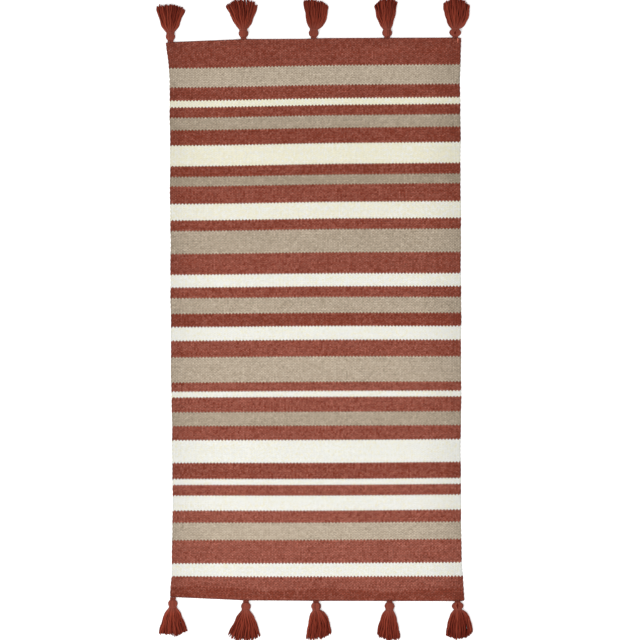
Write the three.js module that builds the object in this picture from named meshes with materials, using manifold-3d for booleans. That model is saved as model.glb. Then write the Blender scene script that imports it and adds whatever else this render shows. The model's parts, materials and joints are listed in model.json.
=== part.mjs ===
// Runner rug: a hand-loomed, weft-faced cotton dhurrie with cross stripes, a turned and
// stitched hem at each end and a row of yarn tassels sewn along each hem.
// Millimetres, +Z up. The rug lies on z = 0, centred on the origin, with its length along Y.
//
// How the pieces fit: the ground cloth is the warp sheet with the rust weft woven on it. In
// each beige or cream stripe it thins to the bare warp sheet, and that stripe's weft is a flat
// sleeve around it. The ends fold under into hems. Each tassel is a head and skirt of yarn, a
// binding round its neck, and the sewn knot that ties its head to the hem's folded edge.
import * as THREE from 'three';
import { mergeVertices } from 'three/addons/utils/BufferGeometryUtils.js';
import Module from 'manifold-3d';

const wasm = await Module();
wasm.setup();

// ---- cloth ----
const rugWidth = 700;        // across the stripes' length, along X
const rowPitch = 1;          // length of rug that one strand of weft takes, along Y; a pick is two
const clothThickness = 3.5;
const weftCover = 0.8;       // how thick a stripe's weft lies over and under the warp sheet
const selvedgeWidth = 3;     // how far the weft wraps past the warp sheet at each long edge
const clearance = 0.3;       // between any two pieces that touch

// ---- hems ----
const hemDepth = 28;         // from the folded edge to the cut edge that is turned under
const hemRise = 12;          // length over which the cloth climbs onto the turned layer
const foldSteps = 10;        // flats round the half circle of the fold
const stitchInset = 14;      // from the folded edge to the line of stitching
const threadWidth = 1;
const threadHeight = 0.8;
const stitchMargin = 4;      // from a long edge to the thread's end
const cornerDip = 7;         // how far both left corners lie short of the ends' straight edges
const dipWidth = 180;        // from the left long edge to where the ends are straight

// ---- tassels ----
const tasselInset = 6.5;     // from a long edge to the centre of the corner tassels
const headRadius = 11.8;     // across the head, along X
const flatness = 0.84;       // height of a lying head or neck, as a share of its width
const neckRadius = 7.2;
const neckLength = 4;
const skirtThickness = 17;   // of the lying skirt at its open end
const skirtBell = 1.6;       // how soon the skirt flares: 1 is a straight cone
const bindingThickness = 1.4;
const bindingLength = 3;
const knotRadius = 1.2;
const knotGap = 0.5;         // from the knot to the fold and to the head, which turn about it
const tasselSides = 16;
const headSteps = 7;
const skirtSteps = 6;

// ---- stripes, from the far end (+Y) to the near end (-Y): colour and strands of weft ----
const stripes = [
  ['rust', 66], ['beige', 47], ['rust', 32], ['cream', 16], ['rust', 25], ['beige', 30],
  ['rust', 37], ['cream', 50], ['rust', 26], ['beige', 23], ['rust', 43], ['cream', 40],
  ['rust', 26], ['beige', 56], ['rust', 51], ['cream', 31], ['rust', 26], ['beige', 38],
  ['rust', 32], ['cream', 33], ['rust', 40], ['beige', 61], ['rust', 22], ['cream', 14],
  ['rust', 36], ['beige', 34], ['rust', 35], ['cream', 55], ['rust', 39], ['cream', 14],
  ['rust', 26], ['cream', 36], ['rust', 29], ['beige', 42], ['rust', 56], ['cream', 32],
  ['rust', 58],
];

// ---- the five tassels of an end, from -X to +X; the other end mirrors them ----
// shift: off its even place along the hem; lean: sideways, in degrees, towards +X;
// length: from the head's centre to the skirt's end; spread: the skirt's width at its end
const tassels = [
  { shift: -3.5, lean: 0, length: 77, spread: 71 },
  { shift: 0.5, lean: -4, length: 82, spread: 72 },
  { shift: -2.5, lean: 4, length: 80, spread: 62 },
  { shift: 2.5, lean: -2, length: 81, spread: 60 },
  { shift: -5.5, lean: 3, length: 80, spread: 66 },
];

const rugLength = rowPitch * stripes.reduce((rows, stripe) => rows + stripe[1], 0);
const edgeY = rugLength / 2;                          // the folded edges are at +-edgeY
const foldRadius = clothThickness + clearance / 2;    // outside of the fold
const hemHeight = 2 * foldRadius;
const foldCentre = { y: edgeY - foldRadius, z: foldRadius };
const warpSheetHeight = clothThickness - 2 * (weftCover + clearance);
const warpSheetWidth = rugWidth - 2 * (selvedgeWidth + clearance);

// ---- materials ----
const cloth = (color, roughness) =>
  new THREE.MeshStandardMaterial({ color, roughness, metalness: 0 });
const materials = {
  rust: () => cloth(0x8d4538, 0.95),
  beige: () => cloth(0xb5a68f, 0.95),
  cream: () => cloth(0xeeead8, 0.95),
  thread: () => cloth(0x9a5547, 0.9),
  tassel: () => cloth(0x7c3226, 0.9),
  binding: () => cloth(0x94493c, 0.9),
};

// ---- solids ----
function toManifold(geometry) {
  const bare = geometry.clone();
  bare.deleteAttribute('normal');
  bare.deleteAttribute('uv');
  const merged = mergeVertices(bare);
  return new wasm.Manifold(new wasm.Mesh({
    numProp: 3,
    vertProperties: new Float32Array(merged.attributes.position.array),
    triVerts: new Uint32Array(merged.index.array),
  }));
}

function toGeometry(manifold) {
  const mesh = manifold.getMesh();
  const geometry = new THREE.BufferGeometry();
  geometry.setAttribute('position', new THREE.BufferAttribute(mesh.vertProperties, 3));
  geometry.setIndex(new THREE.BufferAttribute(mesh.triVerts, 1));
  geometry.computeVertexNormals();
  return geometry;
}

function box(sizeX, sizeY, sizeZ, x, y, z) {
  return new THREE.BoxGeometry(sizeX, sizeY, sizeZ).translate(x, y, z);
}

// The cloth's section along Y, ground level to top, with the fold of both hems.
function clothSection() {
  const cutEdge = edgeY - hemDepth;
  const riseEnd = cutEdge - clearance;
  const riseStart = riseEnd - hemRise;
  const upperUnderside = clothThickness + clearance;
  const farHalf = [[riseStart, 0], [riseEnd, upperUnderside], [foldCentre.y, upperUnderside],
    [foldCentre.y, clothThickness], [cutEdge, clothThickness], [cutEdge, 0]];
  for (let step = 0; step <= foldSteps; step += 1) {
    const turn = Math.PI * (step / foldSteps - 0.5);
    farHalf.push([foldCentre.y + foldRadius * Math.cos(turn),
      foldCentre.z + foldRadius * Math.sin(turn)]);
  }
  farHalf.push([riseEnd, hemHeight], [riseStart, clothThickness]);
  const nearHalf = farHalf.map(([y, z]) => [-y, z]).reverse();
  return new THREE.Shape([...farHalf, ...nearHalf].map(([y, z]) => new THREE.Vector2(y, z)));
}

// A section drawn in Y and Z, drawn out along X from startX.
function acrossRug(shape, startX, width) {
  const geometry = new THREE.ExtrudeGeometry(shape, { depth: width, bevelEnabled: false });
  const yToX = new THREE.Matrix4().makeBasis(
    new THREE.Vector3(0, 1, 0), new THREE.Vector3(0, 0, 1), new THREE.Vector3(1, 0, 0));
  return geometry.applyMatrix4(yToX).translate(startX, 0, 0);
}

// How far both ends lie short of their straight edge at x.
const slantStart = dipWidth - rugWidth / 2;
const dipAt = (x) => cornerDip * Math.max(0, (slantStart - x) / dipWidth);

// The whole cloth before any stripe is cut: straight ends, then the slanting part at the left.
function clothBlank() {
  const straight = acrossRug(clothSection(), slantStart, rugWidth - dipWidth);
  const slanting = acrossRug(clothSection(), -rugWidth / 2, dipWidth);
  const position = slanting.attributes.position;
  for (let index = 0; index < position.count; index += 1) {
    const y = position.getY(index);
    position.setY(index, y - Math.sign(y) * dipAt(position.getX(index)));
  }
  return toManifold(straight).add(toManifold(slanting));
}

// Where each stripe lies along Y.
function stripePlaces() {
  let top = edgeY;
  return stripes.map(([colour, rows], index) => {
    const width = rows * rowPitch;
    top -= width;
    return { colour, width, middle: top + width / 2, number: index + 1 };
  });
}

const places = stripePlaces();
const wovenIn = places.filter((place) => place.colour !== 'rust');

// The rust cloth, cut back to its warp sheet in every beige and cream stripe.
function groundCloth() {
  let solid = clothBlank();
  for (const { width, middle } of wovenIn) {
    solid = solid.subtract(toManifold(
      box(2 * rugWidth, width, 4 * clothThickness, 0, middle, 0)));
  }
  const first = wovenIn[0];
  const last = wovenIn[wovenIn.length - 1];
  const sheetEnds = [first.middle + first.width / 2 + hemRise,
    last.middle - last.width / 2 - hemRise];
  const warpSheet = box(warpSheetWidth, sheetEnds[0] - sheetEnds[1], warpSheetHeight,
    0, (sheetEnds[0] + sheetEnds[1]) / 2, clothThickness / 2);
  return toGeometry(solid.add(toManifold(warpSheet)));
}

// One stripe's weft: a flat sleeve over, under and round the edges of the warp sheet.
function weftSleeve(width) {
  const section = new THREE.Shape([
    new THREE.Vector2(-rugWidth / 2, 0), new THREE.Vector2(rugWidth / 2, 0),
    new THREE.Vector2(rugWidth / 2, clothThickness),
    new THREE.Vector2(-rugWidth / 2, clothThickness)]);
  const inX = rugWidth / 2 - selvedgeWidth;
  const inZ = clothThickness - weftCover;
  section.holes.push(new THREE.Path([
    new THREE.Vector2(-inX, weftCover), new THREE.Vector2(-inX, inZ),
    new THREE.Vector2(inX, inZ), new THREE.Vector2(inX, weftCover)]));
  const length = width - 2 * clearance;
  const sleeve = new THREE.ExtrudeGeometry(section, { depth: length, bevelEnabled: false });
  return sleeve.rotateX(Math.PI / 2).translate(0, length / 2, 0);
}

// ---- a tassel, lying along +Y from its head's centre, with z = 0 at that centre ----
const smooth = (share) => share * share * (3 - 2 * share);
const mix = (from, to, share) => from + (to - from) * share;
const headHalfHeight = headRadius * flatness;
const headHalfLength = headHalfHeight;       // so the head's section along Y and Z is round
const neckAngle = Math.PI - Math.asin(neckRadius / headRadius);
const neckStart = -headHalfLength * Math.cos(neckAngle);
const neckEnd = neckStart + neckLength;
const neckHalfHeight = neckRadius * flatness;

const skirtShare = (along, { length }) => (along - neckEnd) / (length - neckEnd);

// The yarn's half width at each step along its axis: round head, neck, then flaring skirt.
function yarnProfile(tassel) {
  const points = [];
  for (let step = 0; step <= headSteps; step += 1) {
    const angle = neckAngle * step / headSteps;
    points.push([headRadius * Math.sin(angle), -headHalfLength * Math.cos(angle)]);
  }
  for (let step = 0; step <= skirtSteps; step += 1) {
    const share = step / skirtSteps;
    points.push([mix(neckRadius, tassel.spread / 2, 1 - (1 - share) ** skirtBell),
      mix(neckEnd, tassel.length, share)]);
  }
  points.push([0, tassel.length]);
  return points.map(([radius, along]) => new THREE.Vector2(radius, along));
}

// A shape turned about +Y, then laid down: each ring gets its height, and past the neck the
// axis sinks so that the skirt's end lies as low as the head.
function laid(profile, tassel) {
  const geometry = new THREE.LatheGeometry(profile, tasselSides);
  const position = geometry.attributes.position;
  for (let index = 0; index < position.count; index += 1) {
    const along = position.getY(index);
    const ring = profile[index % profile.length].x;
    let height = position.getZ(index) * flatness;
    if (along > neckEnd) {
      const share = smooth(skirtShare(along, tassel));
      const halfHeight = mix(neckHalfHeight, skirtThickness / 2, share);
      const sink = (headHalfHeight - skirtThickness / 2) * share;
      height = (ring > 0 ? position.getZ(index) / ring * halfHeight : 0) - sink;
    }
    position.setZ(index, height);
  }
  return geometry;
}

// The turns of yarn round the neck, as one ring.
function neckBinding(tassel) {
  const inner = neckRadius + clearance / flatness;
  const outer = inner + bindingThickness;
  const near = neckStart + (neckLength - bindingLength) / 2;
  const far = near + bindingLength;
  const rounding = bindingThickness / 3;
  const profile = [[inner, near], [outer - rounding, near], [outer, near + rounding],
    [outer, far - rounding], [outer - rounding, far], [inner, far], [inner, near]];
  return laid(profile.map(([radius, along]) => new THREE.Vector2(radius, along)), tassel);
}

// ---- assembly ----
const rug = new THREE.Group();

function addPiece(parent, name, geometry, material) {
  const piece = new THREE.Mesh(geometry, material);
  piece.name = name;
  parent.add(piece);
  return piece;
}

addPiece(rug, 'ground_cloth', groundCloth(), materials.rust());

for (const { colour, width, middle, number } of wovenIn) {
  const name = `weft_stripe_${String(number).padStart(2, '0')}_${colour}`;
  addPiece(rug, name, weftSleeve(width), materials[colour]()).position.y = middle;
}

const threadLength = rugWidth - 2 * stitchMargin;
const threadZ = hemHeight + clearance + threadHeight / 2;
const ends = [{ end: 'far', side: 1 }, { end: 'near', side: -1 }];

for (const { end, side } of ends) {
  const thread = box(threadLength, threadWidth, threadHeight, 0, 0, 0);
  addPiece(rug, `hem_thread_${end}`, thread, materials.thread())
    .position.set(0, side * (edgeY - stitchInset), threadZ);
}

// The head lies on the floor. The knot is on the line from the fold's centre to the head's,
// and both the fold and the head are round in that section, so it clears them by knotGap.
const headZ = headHalfHeight;
const knotReach = foldRadius + knotGap + knotRadius;
const headDistance = knotReach + knotRadius + knotGap + headHalfHeight;
const knotSlope = Math.asin((headZ - foldCentre.z) / headDistance);
const headY = foldCentre.y + headDistance * Math.cos(knotSlope);

for (const { end, side } of ends) {
  tassels.forEach((tassel, index) => {
    const name = `tassel_${end}_${index + 1}`;
    const evenPlace = (rugWidth / 2 - tasselInset) * (index / 2 - 1);
    const x = evenPlace + tassel.shift;
    const dip = dipAt(x);

    addPiece(rug, `${name}_knot`, new THREE.SphereGeometry(knotRadius, 10, 8),
      materials.thread())
      .position.set(x, side * (foldCentre.y - dip + knotReach * Math.cos(knotSlope)),
        foldCentre.z + knotReach * Math.sin(knotSlope));

    const lying = new THREE.Group();
    lying.position.set(x, side * (headY - dip), headZ);
    // The near end's tassels are turned half round, so their lean turns the other way.
    const halfTurn = side > 0 ? 0 : Math.PI;
    lying.rotation.z = halfTurn - side * THREE.MathUtils.degToRad(tassel.lean);
    rug.add(lying);
    addPiece(lying, `${name}_yarn`, laid(yarnProfile(tassel), tassel), materials.tassel());
    addPiece(lying, `${name}_binding`, neckBinding(tassel), materials.binding());
  });
}

export default rug;
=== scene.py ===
import json
import math

import bpy
import numpy as np
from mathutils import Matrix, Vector


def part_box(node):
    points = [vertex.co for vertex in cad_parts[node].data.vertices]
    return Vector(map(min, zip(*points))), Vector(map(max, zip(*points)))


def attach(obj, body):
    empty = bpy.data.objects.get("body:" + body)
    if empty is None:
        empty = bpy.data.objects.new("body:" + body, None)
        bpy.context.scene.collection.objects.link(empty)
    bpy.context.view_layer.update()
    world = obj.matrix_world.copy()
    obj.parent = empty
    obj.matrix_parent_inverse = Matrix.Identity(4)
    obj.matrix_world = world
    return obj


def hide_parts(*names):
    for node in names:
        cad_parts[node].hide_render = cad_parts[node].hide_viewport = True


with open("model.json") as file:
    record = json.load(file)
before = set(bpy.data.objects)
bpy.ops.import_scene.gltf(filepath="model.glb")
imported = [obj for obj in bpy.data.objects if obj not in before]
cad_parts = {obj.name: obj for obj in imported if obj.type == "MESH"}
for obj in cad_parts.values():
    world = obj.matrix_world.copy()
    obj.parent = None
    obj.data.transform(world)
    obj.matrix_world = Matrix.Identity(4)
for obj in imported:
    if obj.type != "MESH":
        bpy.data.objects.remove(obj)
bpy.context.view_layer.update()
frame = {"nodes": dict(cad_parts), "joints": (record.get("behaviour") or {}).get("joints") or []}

# ---- sizes, in metres ----
CLEARANCE = 0.0003          # the gap that the solids keep from each other
CLOTH_THICKNESS = 0.0035
HEM_DEPTH = 0.028           # of the end that is turned under
HEM_RISE = 0.012            # over which the cloth climbs onto the turned end
RIB_PITCH = 0.00402         # one warp, with the weft that floats over it
FLOAT_LENGTH = {"rust": 0.0059, "beige": 0.0059, "cream": 0.0049}
TOOTH = 0.0019              # how far the floats on one rib lie before those on the next one
RIB_DEPTH = 0.0008
FLOAT_DEPTH = 0.0007
FLOAT_UNEVEN = 0.00009      # how much one float stands above or below the next
LOOP_DEPTH = 0.0004         # of the weft's turns at the long edges
PHASES = np.array([0, 0.3, 0.7])    # the steps across each rib and along each float
SELVEDGE_RIBS = 2           # warps in the selvedge, which has come away at the far right corner
SLIT_LENGTH = 0.012
SLIT_HALF_WIDTH = 0.0013
CORNER_DIP = 0.007          # how far both left corners lie short of the ends' straight edges
DIP_WIDTH = 0.18
YARN_RADIUS = 0.00155       # of a tassel's strands

# How the rug lies, as the most that each thing moves the cloth.
HEM_DIP = 0.0015            # of the far hem's left half, besides its slanting corner
HEM_TILT = (0.011, 0.006)   # of the near hem, left and right of the middle, for each metre across
STRIPES_DIP = 0.006         # of the far half's stripes, towards the left
STRIPES_RISE = 0.0018       # of the near half's stripes
WAIST = 0.0026              # how far the long edges draw in
FAR_CORNERS_OUT = (0.0085, 0.0022)    # left and right
NEAR_CORNERS_OUT = 0.0052
CORNER_ROUNDING = 0.003
SWELL = 0.0005              # a quarter of how far the cloth rises off the floor

# How uneven each yarn's tone is, and how much painted shade darkens the grooves between its floats.
STRAND_SPREAD = 0.24        # of the thin strands that lie side by side in one float
TONE_SPREAD = {"rust": 0.92, "beige": 0.96, "cream": 2.1}
GROOVE_PAINTED_SHADE = {"rust": 1.1, "beige": 0.9, "cream": 0.3}
# Painted shade towards the left and right long edge: how much deeper the tone gets, and darker.
SIDE_PAINTED_SHADES = {"rust": ((0.06, 0.10), (0.13, 0.04)), "beige": ((0, 0.20), (0, 0.25)),
               "cream": ((0, 0.17), (0, 0.21))}
HEM_SHADE = 0.38            # how much deeper the near hem's tone is
FOLD_SHADE_TONE, FOLD_PAINTED_SHADE = 0.7, 0.5     # painted shade: how much deeper and darker the folds are
EDGE_PAINTED_SHADE = 0.35            # painted shade: how much darker the outermost warps are
TURN_PAINTED_SHADE = 0.8             # painted shade: how dark the weft's turns are at the long edges
SLIT_PALENESS = 4.5

rng = np.random.default_rng(41)
half_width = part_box("ground_cloth")[1].x
edge_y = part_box("ground_cloth")[1].y
hem_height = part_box("ground_cloth")[1].z
fold_radius = hem_height / 2
fold_y = edge_y - fold_radius


def smooth(share):
    share = np.clip(share, 0, 1)
    return share * share * (3 - 2 * share)


def mix(low, high, share):
    return low + (high - low) * share


# ---- meshes ----
class Shapes:
    """Closed shapes gathered into one mesh: their points, faces, places on the map and numbers."""

    def __init__(self):
        self.points = []
        self.faces = []
        self.places = []
        self.strand_places = []
        self.numbers = {}
        self.count = 0

    def add(self, points, faces, places, strand_places=(), **numbers):
        """faces, places and strand_places are lists of arrays, one for each number of corners."""
        self.points.append(points)
        self.faces += [face + self.count for face in faces]
        self.places += places
        self.strand_places += strand_places
        for key, values in numbers.items():
            self.numbers.setdefault(key, []).append(values)
        self.count += len(points)

    def piece(self, name, material):
        mesh = bpy.data.meshes.new(name)
        points = np.concatenate(self.points)
        corners = np.concatenate([face.ravel() for face in self.faces])
        sizes = np.concatenate([np.full(len(face), face.shape[1]) for face in self.faces])
        mesh.vertices.add(len(points))
        mesh.vertices.foreach_set("co", points.astype(np.float32).ravel())
        mesh.loops.add(len(corners))
        mesh.loops.foreach_set("vertex_index", corners.astype(np.int32))
        mesh.polygons.add(len(sizes))
        starts = np.concatenate([[0], np.cumsum(sizes)[:-1]])
        mesh.polygons.foreach_set("loop_start", starts.astype(np.int32))
        mesh.update(calc_edges=True)
        mesh.polygons.foreach_set("use_smooth", np.ones(len(sizes), bool))
        for layer_name, given in (("OFBake", self.places), ("strand", self.strand_places)):
            if given:
                places = np.concatenate([place.reshape(-1, 2) for place in given])
                layer = mesh.uv_layers.new(name=layer_name)
                layer.data.foreach_set("uv", places.astype(np.float32).ravel())
        for key, values in self.numbers.items():
            values = np.concatenate(values)
            if key == "rim":
                self.sharpen(mesh, values)
            else:
                layer = mesh.attributes.new(key, "FLOAT", "POINT")
                layer.data.foreach_set("value", values.astype(np.float32))
        mesh.materials.append(material)
        found = bpy.data.objects.new(name, mesh)
        bpy.context.scene.collection.objects.link(found)
        return found

    def turn_faces(self):
        """Turns all faces round, for points that are mirrored."""
        self.faces, self.places, self.strand_places = (
            [corners[:, ::-1] for corners in given]
            for given in (self.faces, self.places, self.strand_places))

    @staticmethod
    def sharpen(mesh, rim):
        """The edges round the shapes' flat ends stay sharp."""
        ends = np.zeros(len(mesh.edges) * 2, np.int32)
        mesh.edges.foreach_get("vertices", ends)
        sharp = rim[ends.reshape(-1, 2)].all(1)
        mesh.attributes.new("sharp_edge", "BOOLEAN", "EDGE").data.foreach_set("value", sharp)


def ring_faces(rows, around):
    """The faces of a grid of rows that each close on themselves, and each face's row and column."""
    row, column = (a.ravel() for a in np.mgrid[0:rows - 1, 0:around])
    after = (column + 1) % around
    face = np.stack([row * around + column, row * around + after,
                     (row + 1) * around + after, (row + 1) * around + column], 1)
    return face, row, column


# ---- the cloth ----
def stripe_list():
    """(number, low y, high y, kind of yarn, CAD node) of each stripe, from the near end to the far
    one. They are numbered from the far end, and the outer two reach round their folds."""
    woven = []
    for name in frame["nodes"]:
        if name.startswith("weft_stripe"):
            low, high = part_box(name)
            woven.append((low.y - CLEARANCE, high.y + CLEARANCE, name.rsplit("_", 1)[1], name))
    woven.sort()
    found, at = [], -cloth_end
    for low, high, kind, name in woven:
        found += [(at, low, "rust", "ground_cloth"), (low, high, kind, name)]
        at = high
    found.append((at, cloth_end, "rust", "ground_cloth"))
    return [(len(found) - index, *stripe) for index, stripe in enumerate(found)]


middle_radius = fold_radius - CLOTH_THICKNESS / 2
fold_length = math.pi * middle_radius
cloth_end = fold_y + fold_length + HEM_DEPTH - fold_radius


def cloth_middle(along):
    """The middle of the cloth's thickness at each distance along it from the rug's centre,
    round the fold and back under the hem: y, z and the direction of the upper face."""
    far = np.abs(along)
    side = np.where(along < 0, -1, 1)
    rise_start = edge_y - HEM_DEPTH - HEM_RISE
    share = np.clip((far - rise_start) / HEM_RISE, 0, 1)
    rise = hem_height - CLOTH_THICKNESS
    slope = np.where((share > 0) & (share < 1), 6 * share * (1 - share) * rise / HEM_RISE, 0)
    y, z = far.copy(), CLOTH_THICKNESS / 2 + rise * smooth(share)
    length = np.hypot(1, slope)
    out_y, out_z = -slope / length, 1 / length
    turn = np.clip((far - fold_y) / middle_radius, 0, math.pi)
    past = far > fold_y
    y = np.where(past, fold_y + middle_radius * np.sin(turn), y)
    z = np.where(past, fold_radius + middle_radius * np.cos(turn), z)
    y = np.where(far > fold_y + fold_length, fold_y - (far - fold_y - fold_length), y)
    out_y = np.where(past, np.sin(turn), out_y)
    out_z = np.where(past, np.cos(turn), out_z)
    return y * side, z, out_y * side, out_z


def lie(points):
    """How the rug really lies. Both ends slant at the left, the far stripes dip towards the left,
    the corners are drawn out sideways, and the long edges wander."""
    x, y, z = points.T
    dip = CORNER_DIP * np.clip((DIP_WIDTH - half_width - x) / DIP_WIDTH, 0, 1)
    far_hem = -dip - HEM_DIP * smooth((0.03 - x) / 0.06)
    near_hem = dip - np.where(x < 0, *HEM_TILT) * x
    far_stripes = -STRIPES_DIP * smooth((0.10 - x) / 0.42) * smooth((y + 0.02) / 0.45)
    near_stripes = STRIPES_RISE * smooth((-y - 0.18) / 0.15)
    along = mix(far_stripes + near_stripes, np.where(y > 0, far_hem, near_hem),
                smooth((np.abs(y) - 0.608) / 0.045))
    at_edge = smooth((np.abs(x) - half_width + 0.005) / 0.005)
    at_fold = smooth((np.abs(y) - fold_y) / 0.005)
    along = along - CORNER_ROUNDING * at_edge * at_fold * np.sign(y)
    along = along + 0.0006 * np.sin(x * 9 + 1.3) * np.cos(y * 7)

    waist = -WAIST * np.exp(-((y + 0.38) / 0.2) ** 2)
    far_corner = np.where(x < 0, *FAR_CORNERS_OUT) * np.clip((y - 0.585) / 0.09, 0, 1)
    near_corner = NEAR_CORNERS_OUT * np.clip((-y - 0.60) / 0.078, 0, 1)
    wander = 0.0005 * np.sin(y * 29 + np.sign(x)) + 0.0003 * np.sin(y * 71 + 2 * np.sign(x))
    aside = (waist + far_corner + near_corner + wander) * np.abs(x / half_width) ** 3 * np.sign(x)

    # The underside stays on the floor, and the hems lie flat.
    swell = SWELL * (2 + np.sin(x * 17 + y * 5) + np.sin(y * 13 - x * 6 + 1)) * smooth(z / 0.002 + 0.5)
    swell = swell * (1 - smooth((np.abs(y) - edge_y + HEM_DEPTH + 0.03) / 0.03))
    return np.stack([x + aside, y + along, z + swell], 1)


def steps_along(count):
    """The number and the phase of each step along a row of ribs or floats."""
    number = np.append(np.repeat(np.arange(count), len(PHASES)), count - 1)
    return number, np.append(np.tile(PHASES, count), 1.0)


ribs = round(2 * half_width / RIB_PITCH)
rib_number, rib_phase = steps_along(ribs)
column_x = (rib_number + rib_phase) / ribs * 2 * half_width - half_width
crown = np.sin(math.pi * rib_phase) ** 0.7
tooth = TOOTH * np.where(rib_number % 2, 1, -1) * np.sin(math.pi * rib_phase) ** 1.2


def yarn_tones(floats):
    """How light each float is: its own chance, a slow change along its pick, and its pick's own."""
    waves = 25
    own = rng.normal(0, 1, (floats + 1, ribs))
    pick = rng.normal(0, 1, (floats + 1, 2))
    knots = rng.normal(0, 1, (floats + 1, 2, waves + 1))
    at = np.linspace(0, waves, ribs)
    low = np.minimum(at.astype(int), waves - 1)
    parity = np.arange(ribs) % 2
    share = at - low
    slow = knots[:, parity, low] * (1 - share) + knots[:, parity, low + 1] * share
    return 0.10 * own + 0.05 * slow + 0.045 * pick[:, parity]


def weave_shades(kind, shade, along, number, swell, tones):
    """How deep each stripe's tone is, and how dark its painted shade, at each row and column."""
    from_edge = half_width - np.abs(column_x)
    edge = smooth((0.04 - from_edge) / 0.03)
    # The near hem is deeper than the field, up to a wavy line.
    wave = 0.003 * np.sin(column_x * 23 + 1) + 0.0015 * np.sin(column_x * 61)
    hem_shade = HEM_SHADE * smooth((-along - edge_y + HEM_DEPTH + wave + 0.002) / 0.004)
    # Painted shade round each fold, where the cloth turns under.
    turned = np.abs(along) - fold_y
    fold_shade = smooth((turned - 0.002) / 0.002) * (1 - smooth((turned - fold_length) / 0.004))
    strand_tones = STRAND_SPREAD * rng.normal(0, 1, (len(along), ribs))
    tone = TONE_SPREAD[kind] * (tones[number] + strand_tones)[:, rib_number]
    tone = tone + shade - hem_shade - FOLD_SHADE_TONE * fold_shade
    # Painted shade: the grooves between the ribs, and between the floats along each pick, are darker.
    across = (1 - crown)[None] * (0.55 + 0.45 * edge)
    deep = GROOVE_PAINTED_SHADE[kind] * np.maximum(across, (0.9 - swell) * 1.1)
    # Painted shade towards both long edges, deeper in tone and darker.
    outer = smooth((np.abs(column_x) - 0.23) / 0.11)
    (left_tone, left_deep), (right_tone, right_deep) = SIDE_PAINTED_SHADES[kind]
    tone = tone - np.where(column_x > 0, right_tone, left_tone) * outer
    deep = deep + np.where(column_x > 0, right_deep, left_deep) * outer
    # Painted shade on the outermost warps, and round the folds.
    deep = deep + EDGE_PAINTED_SHADE * smooth((0.004 - from_edge) / 0.003) + FOLD_PAINTED_SHADE * fold_shade
    in_slit = smooth((along - fold_y + SLIT_LENGTH) / 0.002) * (turned < 0.004)
    slit_x = half_width - SELVEDGE_RIBS * RIB_PITCH
    slit = in_slit * np.clip(1 - np.abs(column_x - slit_x) / SLIT_HALF_WIDTH, 0, 1)
    return tone + slit, deep - SLIT_PALENESS * slit


def weave_map(faces, row, column, rows, columns, strips, band):
    """All faces of a stripe and their places on the map: the shape is unrolled into strips that
    lie one above the other, and its two ends follow."""
    around = 2 * columns + 2
    strip = column * strips // around
    u = (column[:, None] + (0, 1, 1, 0)) * strips / around - strip[:, None]
    v = (strip[:, None] + (row[:, None] + (0, 0, 1, 1)) / (rows - 1)) / strips
    low, high = band
    body_high = mix(low, high, 0.94)
    places = [np.stack([u, mix(low, body_high, v)], 2)]
    cloth = [faces]
    one = np.arange(columns - 1)
    for place, (first, flip) in enumerate(((0, True), ((rows - 1) * around, False))):
        top = first + np.arange(columns)
        under = first + columns + 1 + np.arange(columns)[::-1]
        quads = np.stack([top[:-1], top[1:], under[1:], under[:-1]], 1)
        sides = np.array([[top[0], under[0], first + around - 1],
                          [top[-1], first + columns, under[-1]]])
        base = mix(body_high, high, 0.1 + 0.45 * place)
        tall = (high - body_high) * 0.35
        across = np.stack([one, one + 1, one + 1, one], 1) / columns
        quad_places = np.stack([across, base + tall * np.array([1, 1, 0, 0]) + 0 * across], 2)
        side_places = np.array([[[0, base + tall], [0, base], [0.0001, base]],
                                [[1, base + tall], [0.9999, base], [1, base]]])
        for given, found in ((quads, cloth), (sides, cloth), (quad_places, places),
                             (side_places, places)):
            found.append(given[:, ::-1] if flip else given)
    return cloth, places


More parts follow.
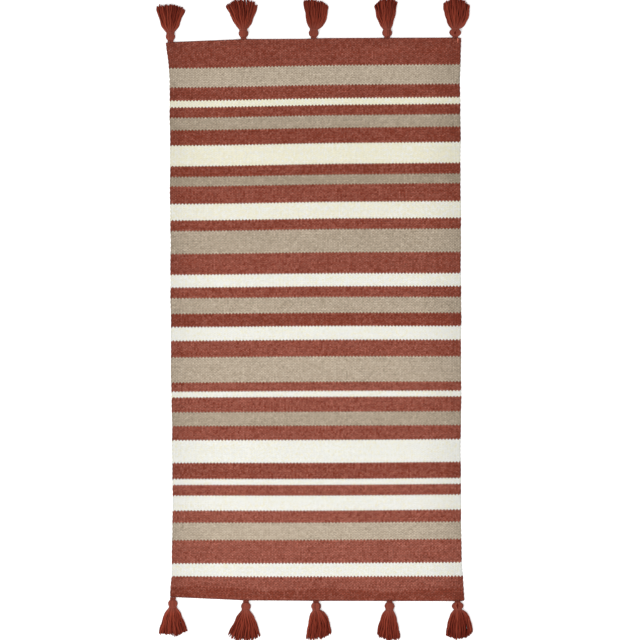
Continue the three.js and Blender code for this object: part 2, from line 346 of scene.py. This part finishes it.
def weave(shapes, start, end, kind, shade, band):
    """One stripe of weft, from start to end along the cloth, as a closed shape. band is its share
    of the map, from low to high."""
    floats = max(2, round((end - start) / FLOAT_LENGTH[kind]))
    number, phase = steps_along(floats)
    along = mix(start, end, (number + phase) / floats)
    rows, columns = len(along), len(column_x)
    swell = np.sin(math.pi * phase)[:, None] ** 0.8
    tones = yarn_tones(floats)
    lift = rng.normal(0, FLOAT_UNEVEN, (floats + 1, ribs))[number][:, rib_number] * swell * crown
    edge = smooth((np.abs(column_x) - half_width + 0.04) / 0.03)
    ribbing = RIB_DEPTH * (1 + 0.35 * edge)
    groove = ribbing * (1 - crown) + FLOAT_DEPTH * (1 - swell) * (0.4 + 0.6 * crown)
    rim = CLOTH_THICKNESS / 2
    inward = np.clip(np.abs(column_x) - half_width + rim, 0, rim * 0.72) / rim
    roundness = np.sqrt(1 - inward ** 2)
    half = (rim - groove + np.minimum(lift, 0.0001)) * roundness
    x = np.clip(column_x, -half_width + 0.0005, half_width - 0.0005)
    # The teeth die out where the turned end is cut off.
    shift = along[:, None] + tooth * np.where(np.abs(along) > cloth_end - 0.004, 0, 1)[:, None]
    layers = []
    for side in (1, -1):
        y, z, out_y, out_z = cloth_middle(shift)
        layer = np.stack([np.broadcast_to(x, y.shape), y + side * half * out_y,
                          z + side * half * out_z], 2)
        layers.append(layer if side > 0 else layer[:, ::-1])
    y, z, _, _ = cloth_middle(along)
    loops = LOOP_DEPTH * np.where(number % 2, 1, -1) * np.sin(math.pi * phase)
    right = np.stack([half_width + loops, y, z], 1)[:, None]
    left = np.stack([-half_width + loops, y, z], 1)[:, None]
    points = np.concatenate([layers[0], right, layers[1], left], 1).reshape(-1, 3)
    around = 2 * columns + 2

    tone, deep = weave_shades(kind, shade, along[:, None], number, swell, tones)
    # The weft's turns at the long edges take painted shade.
    side_tone, side_deep = np.full((rows, 1), shade), np.full((rows, 1), TURN_PAINTED_SHADE)
    numbers = {
        "tone": np.concatenate([tone, side_tone, tone[:, ::-1], side_tone], 1).ravel(),
        "deep": np.concatenate([deep, side_deep, deep[:, ::-1], side_deep], 1).ravel(),
        "rim": np.isin(np.arange(rows), (0, rows - 1)).repeat(around),
    }
    strips = 2 if kind == "rust" else 6
    cloth, places = weave_map(*ring_faces(rows, around), rows, columns, strips, band)
    shapes.add(lie(points), cloth, places, **numbers)


def shell_bands(lengths):
    """Each shape's share of the map, by its length."""
    edges = np.concatenate([[0], np.cumsum(lengths)]) / sum(lengths)
    return list(zip(edges[:-1], edges[1:], strict=True))


# ---- materials ----
class Shader:
    """A material's nodes. A number or a socket goes in, and a socket comes out."""

    def __init__(self, name):
        self.material = bpy.data.materials.new(name)
        self.material.use_nodes = True
        self.tree = self.material.node_tree
        self.surface = self.tree.nodes["Principled BSDF"]

    def node(self, kind, *inputs, output=0, **settings):
        made = self.tree.nodes.new(kind)
        for key, value in settings.items():
            setattr(made, key, value)
        for socket, value in zip(made.inputs, inputs):
            self.give(socket, value)
        return made.outputs[output]

    def give(self, socket, value):
        if isinstance(value, bpy.types.NodeSocket):
            self.tree.links.new(value, socket)
        elif value is not None:
            socket.default_value = value

    def math(self, operation, a, b=0.0, c=0.0):
        return self.node("ShaderNodeMath", a, b, c, operation=operation)

    def number(self, name):
        return self.node("ShaderNodeAttribute", attribute_name=name, output=2)

    def spread(self, value, low, high):
        """A 0 to 1 socket, as a number from low to high."""
        return self.math("MULTIPLY_ADD", value, high - low, low)

    def noise(self, scale, stretch=(1, 1, 1), detail=2.0):
        place = self.node("ShaderNodeTexCoord", output=3)
        place = self.node("ShaderNodeVectorMath", place, stretch, operation="MULTIPLY")
        found = self.tree.nodes.new("ShaderNodeTexNoise")
        self.tree.links.new(place, found.inputs["Vector"])
        found.inputs["Scale"].default_value = scale
        found.inputs["Detail"].default_value = detail
        return found.outputs["Fac"]

    def scaled(self, colour, factor):
        return self.node("ShaderNodeVectorMath", colour, None, None, factor, operation="SCALE")

    def blend(self, share, first, second):
        made = self.tree.nodes.new("ShaderNodeMix")
        made.data_type = "RGBA"
        for key, value in (("Factor", share), ("A", first), ("B", second)):
            socket = next(s for s in made.inputs if s.name == key and s.enabled)
            self.give(socket, value)
        return next(s for s in made.outputs if s.enabled)

    def finish(self, colour, roughness, height, depth, specular, sheen):
        self.give(self.surface.inputs["Base Color"], colour)
        self.give(self.surface.inputs["Roughness"], roughness)
        bump = self.tree.nodes.new("ShaderNodeBump")
        bump.inputs["Strength"].default_value = 1.0
        bump.inputs["Distance"].default_value = depth
        self.give(bump.inputs["Height"], height)
        self.give(self.surface.inputs["Normal"], bump.outputs["Normal"])
        self.surface.inputs["Specular IOR Level"].default_value = specular
        self.surface.inputs["Sheen Weight"].default_value = sheen
        self.surface.inputs["Sheen Roughness"].default_value = 0.6
        return self.material


def weft_material(name, deep_tone, pale_tone, lint, uneven):
    """Weft yarn. Its tone goes from deep to pale from float to float, painted shade darkens grooves
    and edges, and fine fibres run along it. uneven is how strong the fibres and streaks are."""
    s = Shader(name)
    fibre = s.noise(900, (0.35, 1.6, 1), 3)
    streak = s.noise(60, (0.08, 3.2, 1), 2)
    patch = s.noise(7, (1, 1, 1), 3)
    slub = s.noise(380, (0.75, 1.35, 1), 1)
    # Painted shade: the deep number darkens the colour.
    light = s.spread(s.number("deep"), 1.0, 0.62)
    for grain, most in ((streak, 0.12), (fibre, 0.20), (patch, 0.06), (slub, 0.6)):
        light = s.math("MULTIPLY", light, s.spread(grain, 1 - most * uneven, 1 + most * uneven))
    shown = s.scaled(s.blend(s.number("tone"), (*deep_tone, 1), (*pale_tone, 1)), light)
    speck = s.math("GREATER_THAN", s.noise(230, (0.8, 1.3, 1), 1), 0.80)
    shown = s.blend(s.math("MULTIPLY", speck, 0.45), shown, (*lint, 1))
    strands = s.noise(420, (0.25, 2.4, 1), 2)
    height = s.math("ADD", s.math("MULTIPLY", strands, 0.7), s.math("MULTIPLY", fibre, 0.5))
    return s.finish(shown, s.spread(fibre, 0.84, 0.98), height, 0.0004, specular=0.1, sheen=0.05)


def yarn_material(name, colour, grain):
    """Plied cotton of the tassels and threads: a tone for each strand, blended towards a paler tone
    in places, with painted shade where it lies deep, and two plies that twist round each other with
    a little painted shade between them. grain is how fine its fibres are along each axis."""
    s = Shader(name)
    fibre = s.noise(1000, grain, 3)
    place = s.node("ShaderNodeSeparateXYZ", s.node("ShaderNodeUVMap", uv_map="strand"))
    across, along = place, place.node.outputs[1]
    twist = s.math("SINE", s.math("ADD", s.math("MULTIPLY", across, 4 * math.pi),
                                  s.math("MULTIPLY", along, 2 * math.pi / PLY_TWIST)))
    light = s.math("ADD", s.number("tone"), 1.0)
    light = s.math("MULTIPLY", light, s.spread(fibre, 0.8, 1.2))
    # Painted shade between the plies: the twist darkens the colour a little.
    light = s.math("MULTIPLY", light, s.spread(twist, 1.0, 1.05))
    worn = s.blend(s.number("worn"), (*colour, 1), (*TASSEL_PALE, 1))
    # Painted shade: the deep number blends towards the colour of shade between strands.
    shown = s.blend(s.number("deep"), s.scaled(worn, light), (*TASSEL_SHADE_COLOUR, 1))
    height = s.math("ADD", s.math("MULTIPLY", twist, 0.25), fibre)
    return s.finish(shown, s.spread(fibre, 0.82, 0.98), height, 0.0005, specular=0.05, sheen=0.01)


RUST, RUST_PALE = (0.180, 0.0328, 0.0163), (0.341, 0.1105, 0.0778)
BEIGE, BEIGE_PALE = (0.306, 0.244, 0.175), (0.475, 0.394, 0.302)
CREAM, CREAM_PALE = (0.657, 0.628, 0.478), (0.662, 0.662, 0.624)
TASSEL = (0.218, 0.0370, 0.0195)
# Of these, the second is the painted colour of shade deep among the strands.
TASSEL_PALE, TASSEL_SHADE_COLOUR = (0.215, 0.049, 0.031), (0.072, 0.0035, 0.0012)
PLY_TWIST = 0.0055          # the length of one turn of the plies

wefts = {
    "rust": weft_material("rust_weft", RUST, RUST_PALE, (0.62, 0.36, 0.28), uneven=1.0),
    "beige": weft_material("beige_weft", BEIGE, BEIGE_PALE, (0.72, 0.62, 0.5), uneven=0.7),
    "cream": weft_material("cream_weft", CREAM, CREAM_PALE, (0.86, 0.80, 0.58), uneven=0.3),
}
tassel_yarn = yarn_material("tassel_yarn", TASSEL, (1.6, 0.3, 1.6))
binding_yarn = yarn_material("binding_yarn", (0.235, 0.056, 0.037), (0.6, 1.2, 0.6))
tie_yarn = yarn_material("tie_yarn", (0.220, 0.050, 0.032), (1.6, 0.3, 1.6))
stitch_yarn = yarn_material("hem_thread", (0.27, 0.075, 0.05), (0.3, 1.6, 1.6))

# ---- the stripes ----
# Neither yarn is one even dye lot; the steady paling of the rust and the cream towards the near end is
# painted light.
RUST_SHADES = {5: -0.05, 7: -0.06, 9: -0.11, 13: -0.04, 15: 0.03, 19: -0.20, 23: 0.04, 27: -0.03,
               29: -0.18, 35: 0.03, 37: -0.07}
BEIGE_SHADES = {2: 0.65, 6: 0.30, 10: 0.14, 14: 0.50, 18: 0.52, 22: 0.62, 26: 0.36, 34: 0.76}


def shade_of(kind, number, low, high):
    """How pale a stripe's yarn is, from 0, its deep tone, to 1, its pale one."""
    # Painted light: the rust and the cream get paler as near rises towards the near end.
    near = 0.5 - (low + high) / 4 / edge_y
    if kind == "beige":
        return BEIGE_SHADES[number]
    if kind == "cream":
        return 0.08 + 0.85 * smooth((near - 0.1) / 0.45)
    return 0.24 + 0.37 * near + RUST_SHADES.get(number, 0)


stripes = stripe_list()
ground = Shapes()
rust = [(number, low, high) for number, low, high, kind, _ in stripes if kind == "rust"]
rust_lengths = [high - low for _, low, high in rust]
for (number, low, high), band in zip(rust, shell_bands(rust_lengths), strict=True):
    weave(ground, low, high, "rust", shade_of("rust", number, low, high), band)
ground_piece = ground.piece("rust_cloth", wefts["rust"])
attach(ground_piece, "rug")
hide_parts("ground_cloth")

for number, low, high, kind, node in stripes:
    if kind != "rust":
        shapes = Shapes()
        weave(shapes, low, high, kind, shade_of(kind, number, low, high), (0, 1))
        piece = shapes.piece(node.replace("weft_stripe", "woven_stripe"), wefts[kind])
        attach(piece, "rug")
        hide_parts(node)


# ---- strands ----
def strand_map(strands, steps, sides, row, column):
    """Where each strand's faces and its two ends lie on the map, each strand in its own cell."""
    cells_up = math.ceil(math.sqrt(strands / 4))
    cells_across = math.ceil(strands / cells_up)
    number = np.arange(strands)
    corner = np.stack([number % cells_across / cells_across, number // cells_across / cells_up], 1)
    cell = np.array([1 / cells_across, 1 / cells_up])
    u = (column[:, None] + (0, 1, 1, 0)) / sides * 0.9 + 0.05
    v = (row[:, None] + (0, 0, 1, 1)) / (steps - 1) * 0.86 + 0.05
    body = np.stack([u, v], 2)[None] * cell + corner[:, None, None]
    angle = np.arange(sides) / sides * 2 * math.pi
    disc = np.stack([0.25 + 0.2 * np.cos(angle), 0.96 + 0.025 * np.sin(angle)], 1)
    discs = np.stack([disc[::-1], disc + (0.5, 0)])[None] * cell + corner[:, None, None]
    return [body.reshape(-1, 4, 2), discs.reshape(-1, sides, 2)]


def tubes(shapes, paths, side, radius, tone, deep=0.0, worn=0.0, sides=6):
    """Round strands along paths (strand, step, 3). side is a direction across each strand, which
    its section is measured from. Both ends are rounded and closed. tone is a number for each
    strand; deep, the painted shade, and the paleness are for all, or for each strand and step."""
    strands, steps, _ = paths.shape
    ahead = np.gradient(paths, axis=1)
    ahead /= np.linalg.norm(ahead, axis=2, keepdims=True)
    across = side - (side * ahead).sum(2, keepdims=True) * ahead
    across /= np.linalg.norm(across, axis=2, keepdims=True)
    up = np.cross(ahead, across)
    angle = np.arange(sides) / sides * 2 * math.pi
    thin = np.ones(steps)
    thin[[0, -1]] = 0.45
    thin[[1, -2]] = 0.92
    ring = across[:, :, None] * np.cos(angle)[:, None] + up[:, :, None] * np.sin(angle)[:, None]
    points = paths[:, :, None] + ring * radius * thin[:, None, None]
    faces, row, column = ring_faces(steps, sides)
    start = (np.arange(strands) * steps * sides)[:, None, None]
    quads = (faces[None] + start).reshape(-1, 4)
    ends = np.stack([np.arange(sides)[::-1], (steps - 1) * sides + np.arange(sides)])
    caps = (ends[None] + start).reshape(-1, sides)

    # The place on each strand, for its plies: the share of a turn round it, and metres along it.
    along = np.concatenate([np.zeros((strands, 1)),
                            np.linalg.norm(np.diff(paths, axis=1), axis=2).cumsum(1)], 1)
    run = np.stack([along[:, row], along[:, row], along[:, row + 1], along[:, row + 1]], 2)
    turned = np.broadcast_to((column[:, None] + (0, 1, 1, 0)) / sides, run.shape)
    strand_places = [np.stack([turned, run], 3).reshape(-1, 4, 2), np.zeros((len(caps), sides, 2))]

    # Painted shade: the sides and the underside of each strand are darker than its top.
    under = 0.42 * np.clip(0.75 - ring[..., 2], 0, 1.2)
    tone, worn, deep = (np.broadcast_to(given, (strands, steps))[..., None]
                        for given in (np.reshape(tone, (-1, 1)), worn, deep))
    shapes.add(points.reshape(-1, 3), [quads, caps], strand_map(strands, steps, sides, row, column),
               strand_places, tone=tone.repeat(sides, 2).ravel(), worn=worn.repeat(sides, 2).ravel(),
               deep=np.clip(deep + under, 0, 1).ravel())


# ---- hem stitching ----
STITCH_PITCH, STITCH_LENGTH, STITCH_RADIUS = 0.009, 0.0048, 0.00045
STITCH_STEPS = 7
ACROSS_RUG, ALONG_RUG = np.array([1.0, 0.0, 0.0]), np.array([0.0, 1.0, 0.0])

for end, side in (("far", 1), ("near", -1)):
    node = f"hem_thread_{end}"
    low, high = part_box(node)
    count = int((high.x - low.x) / STITCH_PITCH)
    middle = low.x + (np.arange(count) + 0.5) * (high.x - low.x) / count
    middle += rng.normal(0, 0.0004, count)
    share = np.linspace(-1, 1, STITCH_STEPS)
    x = middle[:, None] + share * STITCH_LENGTH / 2
    y = (low.y + high.y) / 2 + rng.normal(0, 0.0003, (count, 1)) + share * 0.0002
    z = hem_height - 0.0007 + 0.0008 * (1 - share ** 4) + 0 * x
    paths = lie(np.stack([x, y + 0 * x, z], 2).reshape(-1, 3)).reshape(count, STITCH_STEPS, 3)
    shapes = Shapes()
    tubes(shapes, paths, ALONG_RUG, STITCH_RADIUS, rng.normal(0, 0.06, count))
    piece = shapes.piece(f"hem_stitches_{end}", stitch_yarn)
    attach(piece, "rug")
    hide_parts(node)

# ---- tassels ----
HEAD_RADIUS, HEAD_FLATNESS = 0.0118, 0.84
HEAD_HALF = HEAD_RADIUS * HEAD_FLATNESS
NECK_RADIUS, NECK_LENGTH = 0.0083, 0.0026
NECK_ANGLE = math.pi - math.asin(NECK_RADIUS / HEAD_RADIUS)
NECK_START = -HEAD_HALF * math.cos(NECK_ANGLE)
NECK_END = NECK_START + NECK_LENGTH
SKIRT_THICKNESS = 0.0165
HEAD_STRANDS, SKIRT_STRANDS = 25, 85    # over the head and down the skirt, and inside the skirt
HEAD_STEPS, SKIRT_STEPS = 9, 19         # along each strand
CUT_PALENESS = 0.3
LOCKS = 9                   # that a skirt's strands draw together in
CROWN_ANGLE = 0.42          # from a head's axis to where its strands come out
WINDING_TURNS, WINDING_RADIUS = 3, 0.00055
WINDING_GAP = 0.0012        # from the neck's radius to the winding's
TIE_LOOPS, TIE_STEPS, TIE_RADIUS, TIE_PITCH = 7, 8, 0.0011, 0.0021

# Each tassel's shape, from the left one to the right one, in millimetres. widths are the skirt's,
# at WIDTH_SHARES of its length; corners are how much shorter its left and right sides are than its
# middle; aside is how soon it leans over to its side; ragged is how uneven its ends are; parted is
# how far its locks draw together, and head how broad its head is.
WIDTH_SHARES = (0, 0.1, 0.25, 0.5, 0.75, 1)
TASSELS = [
    dict(length=77, lean=0, widths=(19, 29, 41, 50, 61, 71), corners=(5, 11), aside=-1, ragged=2.5,
         parted=0.08, head=1.0),
    dict(length=82, lean=-4, widths=(19, 29, 42, 54, 66, 79), corners=(11, 13), aside=1, ragged=4.5,
         parted=0.17, head=1.04),
    dict(length=80, lean=4, widths=(19, 33, 43, 51, 56, 61), corners=(4, 13), aside=3, ragged=3.0,
         parted=0.10, head=1.05),
    dict(length=81, lean=-2, widths=(19, 28, 36, 44, 50, 58), corners=(13, 4), aside=-1, ragged=2.5,
         parted=0.08, head=1.07),
    dict(length=80, lean=3, widths=(21, 37, 46, 56, 63, 65), corners=(10, 12), aside=2, ragged=2.5,
         parted=0.08, head=1.28),
]


def head_line(turn, broad, split):
    """A strand's line over the head, from its crown to its neck: out across, along and up. A
    split head's strands part at the middle of its top."""
    angle = np.linspace(CROWN_ANGLE, NECK_ANGLE, HEAD_STEPS)
    top = np.angle(np.exp(1j * (turn - math.pi / 2)))
    parting = np.exp(-((angle - 1.3) / 0.45) ** 2) * np.exp(-(top / 0.5) ** 2)
    turn = turn + (0.22 * np.sign(top) * parting if split else 0)
    out = (HEAD_RADIUS - YARN_RADIUS) * np.sin(angle)
    broader = 1 + (broad - 1) * np.sin(angle) ** 2
    return np.stack([out * broader * np.cos(turn), -HEAD_HALF * np.cos(angle) + 0 * turn,
                     out * np.sin(turn) * HEAD_FLATNESS], 2)


def evened(across):
    """Places across a round bundle, spread so that each width of a flat skirt holds as many."""
    return (np.arcsin(across) + across * np.sqrt(1 - across ** 2)) * 2 / math.pi


def skirt_line(across, height, tassel, lock, share, reach):
    """Strands from the neck to the skirt's end. across and height are each one's place in the
    section, from -1 to 1, and lock is what its lock of strands does."""
    width = np.interp(share, WIDTH_SHARES, np.array(tassel["widths"]) / 2000) - YARN_RADIUS
    thick = mix(NECK_RADIUS * HEAD_FLATNESS, SKIRT_THICKNESS / 2, smooth(share * 3)) - YARN_RADIUS
    sink = (HEAD_HALF - SKIRT_THICKNESS / 2) * smooth(share * 2)
    flat = mix(across, evened(across), smooth(share * 2))
    drawn = mix(flat, lock["across"], tassel["parted"] * share ** 1.5)
    bent = tassel["aside"] / 1000 * np.sin(math.pi * share ** 0.7)
    x = width * drawn + lock["aside"] * share + bent
    x = x + 0.0009 * smooth(share * 4) * np.sin(lock["wave"] + share * 11)
    y = mix(NECK_END, reach, share)
    z = thick * height - sink + 0.0008 * np.sin(lock["wave"] * 2 + share * 9) * smooth(share * 4)
    return np.stack([x, y, np.maximum(z, -HEAD_HALF + YARN_RADIUS)], 2)


def tassel_strands(tassel, split):
    """The strands over the head and on into the skirt, those inside, and each outer one's angle."""
    turn = np.arange(HEAD_STRANDS) / HEAD_STRANDS * 2 * math.pi + rng.normal(0, 0.03, HEAD_STRANDS)
    number = np.arange(SKIRT_STRANDS) + 0.5
    out = np.sqrt(number / SKIRT_STRANDS) * 0.9
    swirl = number * math.pi * (3 - math.sqrt(5))
    across = np.concatenate([np.cos(turn), out * np.cos(swirl)])
    height = np.concatenate([np.sin(turn), out * np.sin(swirl)])
    total = len(across)
    chosen = ((across + 1) / 2 * LOCKS + rng.normal(0, 0.35, total)).astype(int)
    chosen = np.clip(chosen, 0, LOCKS - 1)
    reach_of_lock = rng.normal(0, tassel["ragged"] / 1000, LOCKS)[chosen]
    lock = {
        "across": ((chosen + 0.5) / LOCKS * 2 - 1)[:, None],
        "aside": rng.normal(0, 0.0013, total)[:, None],
        "wave": rng.uniform(0, 6.28, total)[:, None],
    }
    left, right = tassel["corners"]
    shorter = np.where(across < 0, left, right) / 1000 * np.abs(evened(across)) ** 2.2
    reach = tassel["length"] / 1000 - shorter + reach_of_lock * 0.5
    reach = reach + rng.normal(-0.001, tassel["ragged"] / 1900, total)
    reach = np.minimum(reach, tassel["length"] / 1000 + 0.003)[:, None]
    share = np.linspace(0, 1, SKIRT_STEPS)[None]
    skirt = skirt_line(across[:, None], height[:, None], tassel, lock, share, reach)
    inner = skirt[HEAD_STRANDS:]
    inside = np.concatenate([inner[:, :1] - (0, NECK_LENGTH, 0), inner], 1)
    head = head_line(turn[:, None], tassel["head"], split)
    outside = np.concatenate([head, skirt[:HEAD_STRANDS]], 1)
    return outside, inside, turn


def add_core(shapes):
    """The close-packed yarn inside the head and neck, as a closed shape."""
    around, rows = 20, 13
    angle = np.linspace(0.25, NECK_ANGLE, rows - 1)
    out = np.append((HEAD_RADIUS - 1.5 * YARN_RADIUS) * np.sin(angle), NECK_RADIUS - YARN_RADIUS)
    along = np.append(-HEAD_HALF * 0.9 * np.cos(angle), NECK_END + 0.004)
    turn = np.arange(around) / around * 2 * math.pi
    points = np.stack([out[:, None] * np.cos(turn), along[:, None] + 0 * turn,
                       out[:, None] * np.sin(turn) * HEAD_FLATNESS], 2)
    faces, row, column = ring_faces(rows, around)
    ends = np.stack([np.arange(around)[::-1], (rows - 1) * around + np.arange(around)])
    u = (column[:, None] + (0, 1, 1, 0)) / around
    v = 0.93 + 0.05 * (row[:, None] + (0, 0, 1, 1)) / (rows - 1)
    disc = np.stack([0.2 + 0.1 * np.cos(turn), 0.99 + 0.008 * np.sin(turn)], 1)
    # The core is coloured almost all painted shade, as it lies deep inside.
    shapes.add(points.reshape(-1, 3), [faces[:, ::-1], ends[:, ::-1]],
               [np.stack([u, v], 2)[:, ::-1], np.stack([disc, disc + (0.5, 0)])],
               [np.stack([u, v], 2), np.stack([disc, disc])],
               tone=np.zeros(rows * around), worn=np.zeros(rows * around),
               deep=np.full(rows * around, 0.85))


def lay_down(made, tassel, place, side):
    """Turns a tassel that lies along +Y by its lean, and moves it to its place. The near end's
    tassels are the far end's in a mirror."""
    turn = -math.radians(tassel["lean"])
    for index, points in enumerate(made.points):
        x, y, z = np.moveaxis(points, -1, 0)
        turned = np.stack([x * math.cos(turn) - y * math.sin(turn),
                           (x * math.sin(turn) + y * math.cos(turn)) * side, z], -1)
        made.points[index] = turned + place
    if side < 0:
        made.turn_faces()


def in_corner(places, low, high):
    """The same places, in a smaller part of the map."""
    low, high = np.array(low), np.array(high)
    return [low + place * (high - low) for place in places]


def tassel_piece(name, tassel, place, side, split):
    outside, inside, turn = tassel_strands(tassel, split)
    made = Shapes()
    outward = np.stack([-np.sin(turn), 0 * turn, np.cos(turn)], 1)[:, None]
    # Painted shade deepens the skirt towards its ends, so the head and the top of the skirt are paler,
    # but the cut ends are pale too.
    fall = np.concatenate([np.full(HEAD_STEPS, -0.12), np.linspace(-0.1, 0.34, SKIRT_STEPS)])
    fall[-1] -= CUT_PALENESS
    uneven = np.concatenate([np.full(HEAD_STEPS, 0.4), np.full(SKIRT_STEPS, 1.0)])
    own = rng.normal(0.08, 0.20, (len(turn), 1)) * uneven
    # Painted shade on the sides and the underside of the head.
    on_head = np.arange(HEAD_STEPS + SKIRT_STEPS) < HEAD_STEPS + 1
    painted_flank_shade = 0.5 * (1 - np.clip(np.sin(turn), 0, 1))[:, None] ** 2 * on_head
    # The head and the top of the skirt are blended towards the pale tone.
    worn = np.concatenate([np.full(HEAD_STEPS, 1.0), 1 - smooth(np.arange(SKIRT_STEPS) / 6)])
    tone = 0.125 * rng.normal(0, 1, len(turn))
    tubes(made, outside, outward, YARN_RADIUS, tone, fall + own + painted_flank_shade, worn)
    made.places = in_corner(made.places, (0, 0), (1, 0.35))
    count = len(made.places)
    # The inner strands take painted shade too, deeper towards their ends and more or less at random.
    fall = np.concatenate([[0], np.linspace(0, 0.35, SKIRT_STEPS)])
    fall[-1] -= CUT_PALENESS
    own = rng.uniform(-0.1, 0.5, (len(inside), 1))
    tubes(made, inside, ACROSS_RUG, YARN_RADIUS, rng.normal(0, 0.12, len(inside)), fall + own)
    made.places[count:] = in_corner(made.places[count:], (0, 0.36), (1, 0.92))
    add_core(made)
    lay_down(made, tassel, place, side)
    return made.piece(f"{name}_strands", tassel_yarn)


def binding_piece(name, tassel, place, side):
    """Turns of yarn wound round the neck."""
    angle = np.linspace(0, WINDING_TURNS * 2 * math.pi, WINDING_TURNS * 22)
    spread = np.linspace(-0.5, 0.5, len(angle)) * WINDING_TURNS * WINDING_RADIUS * 1.7
    along = NECK_START + NECK_LENGTH / 2 + spread
    out = NECK_RADIUS + WINDING_GAP
    path = np.stack([out * np.cos(angle), along, out * np.sin(angle) * HEAD_FLATNESS], 1)[None]
    made = Shapes()
    tubes(made, path, ALONG_RUG, WINDING_RADIUS, 0.0, sides=7)
    lay_down(made, tassel, place, side)
    return made.piece(f"{name}_winding", binding_yarn)


def tie_piece(name, place, side):
    """Short loops of yarn, side by side, that come out of the fold and go into the head's crown."""
    share = np.linspace(0, 1, TIE_STEPS)
    fold = lie(np.array([[place[0], fold_y * side, fold_radius]]))[0, 1] * side
    start_y, end_y = fold + 0.0022, place[1] * side - HEAD_HALF + 0.0024
    x = (np.arange(TIE_LOOPS) - (TIE_LOOPS - 1) / 2)[:, None] * TIE_PITCH * (1 - 0.1 * share)
    y = mix(start_y, end_y, share) + 0 * x
    z = mix(fold_radius + 0.0016, place[2] - 0.0008, share) + 0.0007 * np.sin(math.pi * share) + 0 * x
    made = Shapes()
    tubes(made, np.stack([x + place[0], y, z], 2), ACROSS_RUG, TIE_RADIUS,
          rng.normal(0, 0.06, TIE_LOOPS), 0.1)
    made.points = [points * (1, side, 1) for points in made.points]
    if side < 0:
        made.turn_faces()
    return made.piece(f"{name}_loops", tie_yarn)


HEAD_SHIFT = -0.0018        # towards the hem, as far as leaves room for a tassel to stand up
NEAR_SLANT = 0.0004         # how much further out each of the near end's heads lies than the last
swings = {j["child"]: j["pos_m"] for j in frame["joints"] if j["name"].endswith("_swing")}
for end, side in (("far", 1), ("near", -1)):
    for index, tassel in enumerate(TASSELS):
        name = f"tassel_{end}_{index + 1}"
        place = np.array(swings[name])
        outward = NEAR_SLANT * index if side < 0 else 0
        place = place + (0, (HEAD_SHIFT + outward) * side, 0)
        strands = tassel_piece(name, tassel, place, side, split=index == 4)
        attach(strands, name)
        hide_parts(f"{name}_yarn")
        winding = binding_piece(name, tassel, place, side)
        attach(winding, name)
        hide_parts(f"{name}_binding")
        tie = tie_piece(name, place, side)
        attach(tie, f"{name}_tie")
        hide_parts(f"{name}_knot")

# ---- floor, light and camera ----
VIEW_WIDTH = 1.5424         # across the picture, at the rug
VIEW_CENTRE = (0.0098, -0.0013)
VIEW_TURN = -0.24           # degrees
LENS, SENSOR = 120, 36
FLOOR_REACH = 9.0


def add_floor():
    shapes = Shapes()
    points = FLOOR_REACH * np.array([[-1, -1, 0], [1, -1, 0], [1, 1, 0], [-1, 1, 0]], float)
    face = np.array([[0, 1, 2, 3]])
    shapes.add(points, [face], [np.array([[[0, 0], [1, 0], [1, 1], [0, 1]]], float)])
    s = Shader("studio_floor")
    s.surface.inputs["Base Color"].default_value = (0.93, 0.93, 0.93, 1)
    s.surface.inputs["Roughness"].default_value = 0.9
    s.surface.inputs["Specular IOR Level"].default_value = 0.0
    s.surface.inputs["Emission Color"].default_value = (1, 1, 1, 1)
    s.surface.inputs["Emission Strength"].default_value = 0.25
    floor = shapes.piece("floor", s.material)


def add_light(name, place, size, watts):
    lamp = bpy.data.lights.new(name, "AREA")
    lamp.shape, lamp.size, lamp.energy = "DISK", size, watts
    found = bpy.data.objects.new(name, lamp)
    found.location = place
    found.rotation_mode = "QUATERNION"
    found.rotation_quaternion = (-Vector(place)).to_track_quat("-Z", "Y")
    bpy.context.scene.collection.objects.link(found)


add_floor()
add_light("key_light", (-0.9, -0.7, 2.8), 1.6, 48)

world = bpy.data.worlds.new("studio")
world.use_nodes = True
world.node_tree.nodes["Background"].inputs["Color"].default_value = (1, 1, 1, 1)
world.node_tree.nodes["Background"].inputs["Strength"].default_value = 0.95
bpy.context.scene.world = world
bpy.context.scene.view_settings.view_transform = "Standard"

camera_data = bpy.data.cameras.new("camera")
camera_data.lens, camera_data.sensor_width = LENS, SENSOR
camera = bpy.data.objects.new("camera", camera_data)
camera.location = (*VIEW_CENTRE, VIEW_WIDTH * LENS / SENSOR)
camera.rotation_euler = (0, 0, math.radians(VIEW_TURN))
bpy.context.scene.collection.objects.link(camera)
bpy.context.scene.camera = camera
